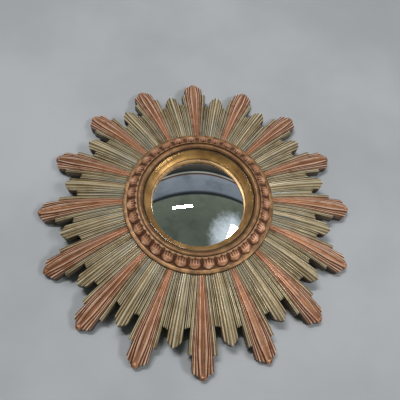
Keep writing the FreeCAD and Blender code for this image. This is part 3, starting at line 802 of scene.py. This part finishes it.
sight_points, sight_faces = build_sight_ring()
sight = add_piece("coved_sight_ring", sight_points, sight_faces, "mirror", "gold_liner", "sight_ring")
store(sight, "joint", [math.hypot(x, y) > COVE_RADIUS + 0.05 for x, y, _ in sight_points])
sight.data.materials.append(liner_gold())

# ---------------------------------------------------------------- convex glass
# A round of blown glass, 200 mm in radius and 3 mm thick, silvered on its back and painted grey
# over the silver. It drops into the sight ring from behind.
GLASS_CURVE = 200.0
GLASS_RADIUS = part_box("mirror_glass")[1].x / MM
GLASS_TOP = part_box("mirror_glass")[1].z / MM
GLASS_THICKNESS = 3.0


def build_glass():
    around, rings = 192, 48
    centre = GLASS_TOP - GLASS_CURVE
    vertices = [(0.0, 0.0, GLASS_TOP)]
    for ball in (GLASS_CURVE, GLASS_CURVE - GLASS_THICKNESS):
        steps = range(1, rings + 1) if ball == GLASS_CURVE else range(rings, 0, -1)
        for step in steps:
            r = GLASS_RADIUS * step / rings
            z = centre + math.sqrt(ball * ball - r * r)
            for k in range(around):
                turn = 2 * math.pi * k / around
                vertices.append((r * math.cos(turn), r * math.sin(turn), z))
    vertices.append((0.0, 0.0, GLASS_TOP - GLASS_THICKNESS))
    rows = 2 * rings
    faces = [(0, 1 + k, 1 + (k + 1) % around) for k in range(around)]
    for row in range(rows - 1):
        for k in range(around):
            m = (k + 1) % around
            a, b = 1 + row * around, 1 + (row + 1) * around
            faces.append((a + k, b + k, b + m, a + m))
    last = 1 + (rows - 1) * around
    faces += [(last + (k + 1) % around, last + k, len(vertices) - 1) for k in range(around)]
    return vertices, faces


def silvered_glass():
    material, start, shader = finish_named("silvered_glass", Metallic=1.0)
    place = own_place(start)
    smear = noise(place, 30.0, 3.0)
    dust = noise(place, 900.0, 2.0)
    feed(shader, {
        "Base Color": mixed(rgb(226, 230, 230), rgb(206, 212, 212), between(smear, 0.4, 0.7)),
        "Roughness": 0.012 + between(dust, 0.68, 0.8) * between(smear, 0.5, 0.7) * 0.1,
    })
    return material


def backing_paint():
    material, start, shader = finish_named("grey_backing_paint")
    place = own_place(start)
    feed(shader, {
        "Base Color": mixed(rgb(92, 94, 96), rgb(120, 120, 122), noise(place, 50.0)),
        "Roughness": 0.5 + noise(place, 200.0) * 0.2,
    })
    return material


glass_points, glass_faces = build_glass()
glass = add_piece("convex_glass", glass_points, glass_faces, "mirror", "silvered_glass", "mirror_glass")
glass.data.materials.append(silvered_glass())
glass.data.materials.append(backing_paint())
for polygon in glass.data.polygons:
    polygon.material_index = int(polygon.normal.z < 0.2)          # the paint is on the back and the edge

# ---------------------------------------------------------------- cushion, board, buttons, hanger
# Behind the glass: a ring of grey felt, a round of brown hardboard, four brass turn buttons on
# screws that hold it in, and a folded brass strap with a D-ring on the back of the top ray.


def felt():
    material, start, shader = finish_named("grey_felt", Roughness=0.95)
    place = own_place(start)
    fibre = noise(place, 900.0, 6.0, 0.8)
    feed(shader, {
        "Base Color": mixed(rgb(48, 48, 50), rgb(92, 92, 94), fibre),
        "Normal": bumped(fibre, 0.0006),
    })
    return material


def hardboard():
    """Brown pressed board with the screen pattern of its rough face."""
    material, start, shader = finish_named("pressed_hardboard", Roughness=0.75)
    place = own_place(start)
    fibre = noise(place, 350.0, 6.0, 0.75)
    blotch = noise(place, 22.0, 3.0)
    brown = mixed(rgb(104, 74, 48), rgb(142, 106, 72), fibre)
    brown = mixed(brown, rgb(84, 58, 38), between(blotch, 0.5, 0.7) * 0.6)
    screen = {"Vector": place, "Scale": 160.0}
    warp = place.node("ShaderNodeTexWave", {"bands_direction": "X"}, screen, "Fac")
    weft = place.node("ShaderNodeTexWave", {"bands_direction": "Y"}, screen, "Fac")
    feed(shader, {"Base Color": brown, "Normal": bumped(warp * weft + fibre * 0.5, 0.0004, 0.7)})
    return material


def metal(name, dark, light, roughness):
    """Bare or plated metal with fine scratches and a little tarnish."""
    material, start, shader = finish_named(name, Metallic=1.0)
    place = own_place(start)
    tarnish = noise(place, 120.0, 4.0)
    scratch = noise(place, 1500.0, 3.0, 0.8)
    feed(shader, {
        "Base Color": mixed(dark, light, between(tarnish, 0.3, 0.65)),
        "Roughness": roughness + tarnish * 0.2,
        "Normal": bumped(scratch, 0.00005, 0.4),
    })
    return material


def dress(names, material):
    """Gives CAD parts a finish in place of their plain one."""
    for name in names:
        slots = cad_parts[name].data.materials
        slots.clear()
        slots.append(material)


buttons = ["turn_button_%d" % number for number in (1, 2, 3, 4)]
dress(["glass_cushion"], felt())
dress(["backing_board"], hardboard())
dress(buttons + ["hanger_strap", "hanger_ring"],
      metal("dull_brass", rgb(122, 92, 44), rgb(190, 156, 86), 0.3))
dress(["ring_screws", "turn_button_screws", "hanger_screws"],
      metal("zinc_plate", rgb(120, 122, 124), rgb(186, 188, 190), 0.28))

# ---------------------------------------------------------------- studio
# A grey floor under the mirror, a tube and a soft light overhead, a window at the right with a soft
# glow round it, plain walls for the glass to mirror, and the camera at the photograph's angle.
FLOOR_SIZE = 12.0
CAMERA_PLACE = Vector((-0.0435, -0.2371, 0.62035))
CAMERA_AIM = Vector((0.00648, 0.02463, 0.0))
CAMERA_ROLL = math.radians(9.49)
ROW_TURN = math.radians(-10.81)


def floor_paint():
    material, start, shader = finish_named("grey_floor", Roughness=0.7)
    place = own_place(start)
    cloud = noise(place, 3.0, 4.0)
    speck = noise(place, 260.0, 3.0)
    grey = mixed(rgb(134, 137, 140), rgb(146, 148, 151), between(cloud, 0.35, 0.65))
    grey = mixed(grey, rgb(116, 118, 122), between(speck, 0.62, 0.8) * 0.4)
    feed(shader, {"Base Color": grey})
    return material


half = FLOOR_SIZE / 2
floor_mesh = bpy.data.meshes.new("floor")
floor_corners = [(-half, -half, 0), (half, -half, 0), (half, half, 0), (-half, half, 0)]
floor_mesh.from_pydata(floor_corners, [], [(0, 1, 2, 3)])
floor = bpy.data.objects.new("floor", floor_mesh)
floor.location.z = cad_low.z - 0.0002
floor_mesh.materials.append(floor_paint())
bpy.context.scene.collection.objects.link(floor)


def soft_light(name, place, across, width, height, power):
    """A rectangle that lights the mirror's middle, with its long side along a direction."""
    lamp = bpy.data.lights.new(name, "AREA")
    lamp.shape = "RECTANGLE"
    lamp.size = width
    lamp.size_y = height
    lamp.energy = power
    holder = bpy.data.objects.new(name, lamp)
    away = Vector(place).normalized()
    side = (Vector(across) - away * away.dot(Vector(across))).normalized()
    facing = Matrix((side, away.cross(side), away)).transposed()
    holder.matrix_world = Matrix.Translation(place) @ facing.to_4x4()
    bpy.context.scene.collection.objects.link(holder)
    return holder


WINDOW_PLACE = (1.35, -0.55, 1.8)
soft_light("ceiling_tube", (-0.5, 0.52, 2.2), (1, 0, 0), 0.78, 0.09, 36.0)
soft_light("window", WINDOW_PLACE, (0.4, 1, 0), 0.8, 0.3, 25.0)
fill = soft_light("ceiling_fill", (-0.3, 0.9, 2.4), (1, 0, 0), 1.6, 1.2, 16.0)
fill.visible_glossy = False

world = bpy.data.worlds.new("studio")
bpy.context.scene.world = world
world.use_nodes = True
backdrop = world.node_tree.nodes["Background"]
sky = Signal(world.node_tree)
way = sky.node("ShaderNodeTexCoord", {}, {}, "Generated")
across, ahead, upwards = (way.node("ShaderNodeSeparateXYZ", {}, {0: way}, axis) for axis in "XYZ")
slope = (ahead / (upwards + 0.02)) * 0.5                # the same all along a level line of the far wall
walls = slope.node("ShaderNodeValToRGB", {"stops": [
    (0.0, rgb(134, 142, 128)), (0.235, rgb(156, 164, 148)), (0.25, rgb(50, 56, 60)),
    (0.275, rgb(80, 86, 92)), (0.30, rgb(172, 182, 196)), (0.56, rgb(196, 206, 220)),
    (0.585, rgb(140, 96, 72)), (0.61, rgb(116, 88, 74)), (0.625, rgb(236, 238, 230)),
    (0.65, rgb(236, 238, 230)), (0.67, rgb(56, 60, 64)), (0.80, rgb(98, 94, 90)),
    (1.0, rgb(124, 120, 112))]}, {0: slope}, "Color")
room = mixed(rgb(104, 110, 108), walls, between(upwards, 0.0, 0.1))
room = mixed(room, rgb(72, 78, 72), between(noise(way, 4.0, 3.0, 0.6), 0.45, 0.7) * 0.3)
middle = Vector(WINDOW_PLACE).normalized()
nearness = across * middle.x + ahead * middle.y + upwards * middle.z
streaks = noise(way, 7.0, 4.0, 0.7)
room = mixed(room, (1.5, 1.65, 1.8, 1.0), between(nearness + streaks * 0.12 - 0.06, 0.90, 1.0))
seen = sky.node("ShaderNodeLightPath", {}, {}, "Is Camera Ray")
room = mixed(room, (1.15, 1.17, 1.2, 1.0), seen)          # the camera itself sees a plain pale backdrop
sky.plug(backdrop.inputs["Color"], room)
backdrop.inputs["Strength"].default_value = 0.5

forward = (CAMERA_AIM - CAMERA_PLACE).normalized()
level = Vector((math.cos(ROW_TURN), math.sin(ROW_TURN), 0.0))
upward = level.cross(forward)
camera_x = level * math.cos(CAMERA_ROLL) + upward * math.sin(CAMERA_ROLL)
camera_y = upward * math.cos(CAMERA_ROLL) - level * math.sin(CAMERA_ROLL)
camera = bpy.data.objects.new("camera", bpy.data.cameras.new("camera"))
camera.data.sensor_width = 36.0
camera.data.lens = 36.0
camera_turn = Matrix((camera_x, camera_y, -forward)).transposed()
camera.matrix_world = Matrix.Translation(CAMERA_PLACE) @ camera_turn.to_4x4()
bpy.context.scene.collection.objects.link(camera)
bpy.context.scene.camera = camera
bpy.context.scene.view_settings.view_transform = "Standard"
